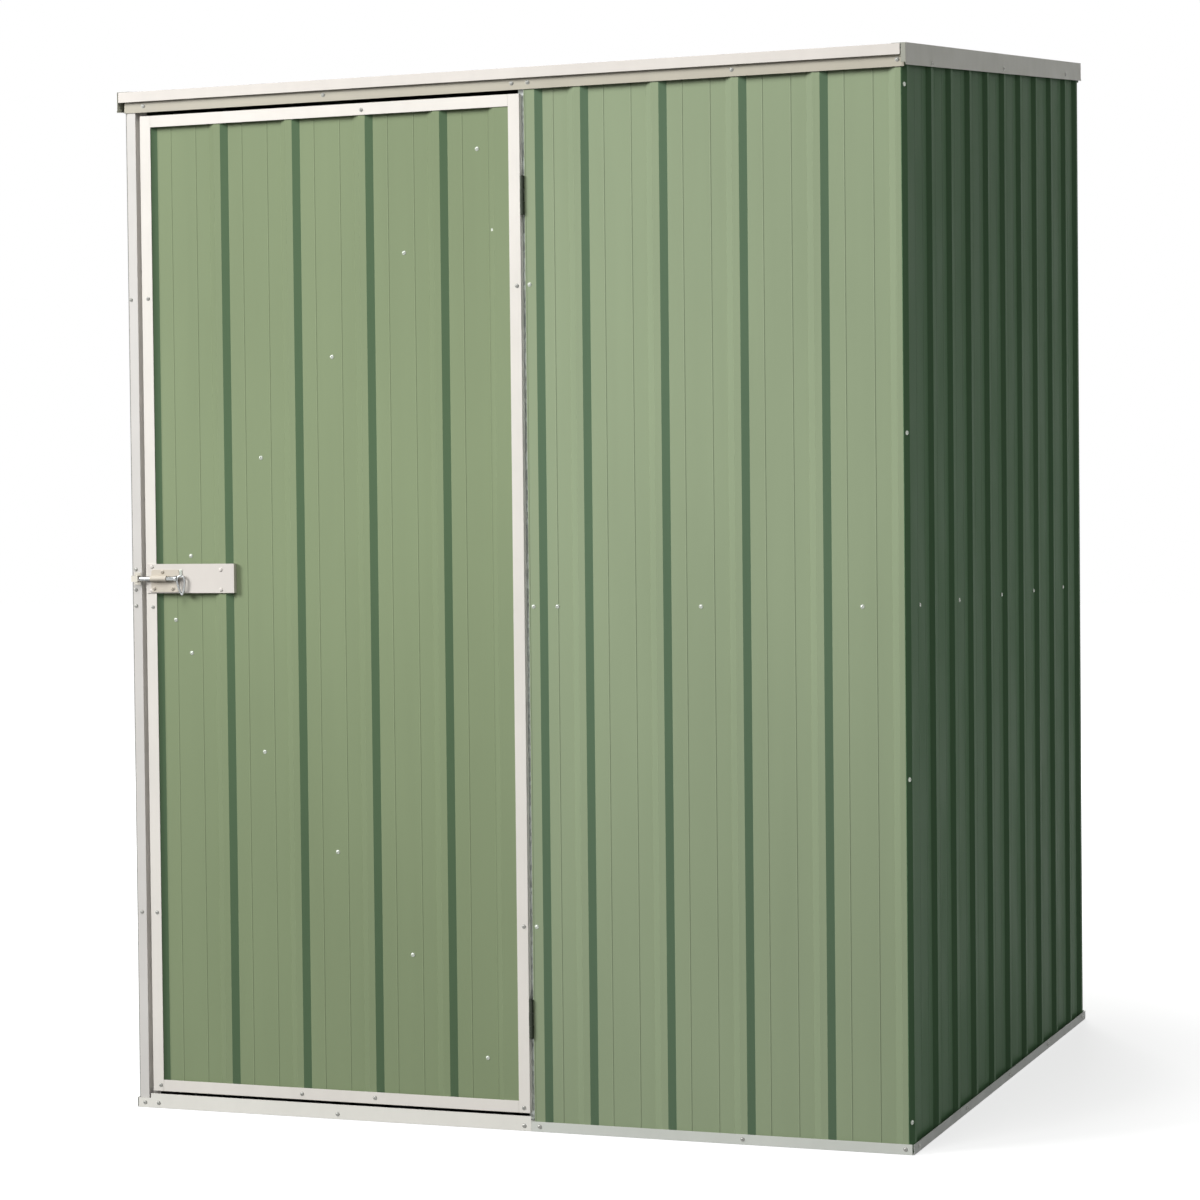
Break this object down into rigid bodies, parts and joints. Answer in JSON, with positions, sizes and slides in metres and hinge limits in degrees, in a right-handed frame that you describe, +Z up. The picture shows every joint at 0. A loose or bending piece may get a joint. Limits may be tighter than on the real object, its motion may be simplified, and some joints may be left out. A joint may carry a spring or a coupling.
{
  "type": "metal garden shed",
  "caption": "Flat-pack sheet steel garden shed with ribbed walls, a roof that falls to the front and one hinged door with a pad bolt.",
  "frame": {"origin": "centre of the plan outline, at floor level", "axes": "+X to the right seen from the front, -Y out of the front, +Z up"},
  "size_m": [1.52, 1.527, 2.076],
  "materials": {
    "sage_sheet": "colour-coated ribbed steel sheet, sage green, satin",
    "cream_trim": "colour-coated folded steel trim, pale cream, satin",
    "galvanised_rail": "galvanised folded steel",
    "zinc_hardware": "zinc-plated steel"
  },
  "bodies": {
    "shell": {"front_wall": "sage_sheet", "right_wall_front": "sage_sheet", "right_wall_back": "sage_sheet", "left_wall_front": "sage_sheet", "left_wall_back": "sage_sheet", "back_wall_right": "sage_sheet", "back_wall_left": "sage_sheet", "roof_sheet_right": "sage_sheet", "roof_sheet_left": "sage_sheet", "door_sill": "cream_trim", "base_channel_front": "cream_trim", "header": "cream_trim", "back_header": "cream_trim", "front_capping": "cream_trim", "back_capping": "cream_trim", "latch_post": "cream_trim", "right_barge": "cream_trim", "left_barge": "cream_trim", "base_channel_right": "cream_trim", "base_channel_left": "cream_trim", "base_channel_back": "cream_trim", "hinge_post": "galvanised_rail", "top_rail_right": "galvanised_rail", "top_rail_left": "galvanised_rail", "mid_rail_front": "galvanised_rail", "mid_rail_right": "galvanised_rail", "mid_rail_back": "galvanised_rail", "mid_rail_left": "galvanised_rail", "bolt_keeper": "zinc_hardware", "hinge_upper_fixed": "zinc_hardware", "hinge_lower_fixed": "zinc_hardware"},
    "door": {"door_stile_latch": "cream_trim", "door_stile_hinge": "cream_trim", "door_rail_top": "cream_trim", "door_rail_bottom": "cream_trim", "door_panel": "sage_sheet", "door_brace_upper": "galvanised_rail", "door_brace_lower": "galvanised_rail", "lock_plate": "cream_trim", "bolt_plate": "zinc_hardware", "hinge_upper_leaf": "zinc_hardware", "hinge_lower_leaf": "zinc_hardware"},
    "bolt": {"bolt_rod": "zinc_hardware"}
  },
  "joints": [
    {"name": "door_hinge", "type": "hinge", "parent": "shell", "child": "door", "pos_m": [0.0515, -0.7515, 0.943], "axis": [0, 0, 1], "range_deg": [0, 170]},
    {"name": "bolt_slide", "type": "slide", "parent": "door", "child": "bolt", "axis": [-1, 0, 0], "range_m": [-0.02, 0.009]}
  ]
}
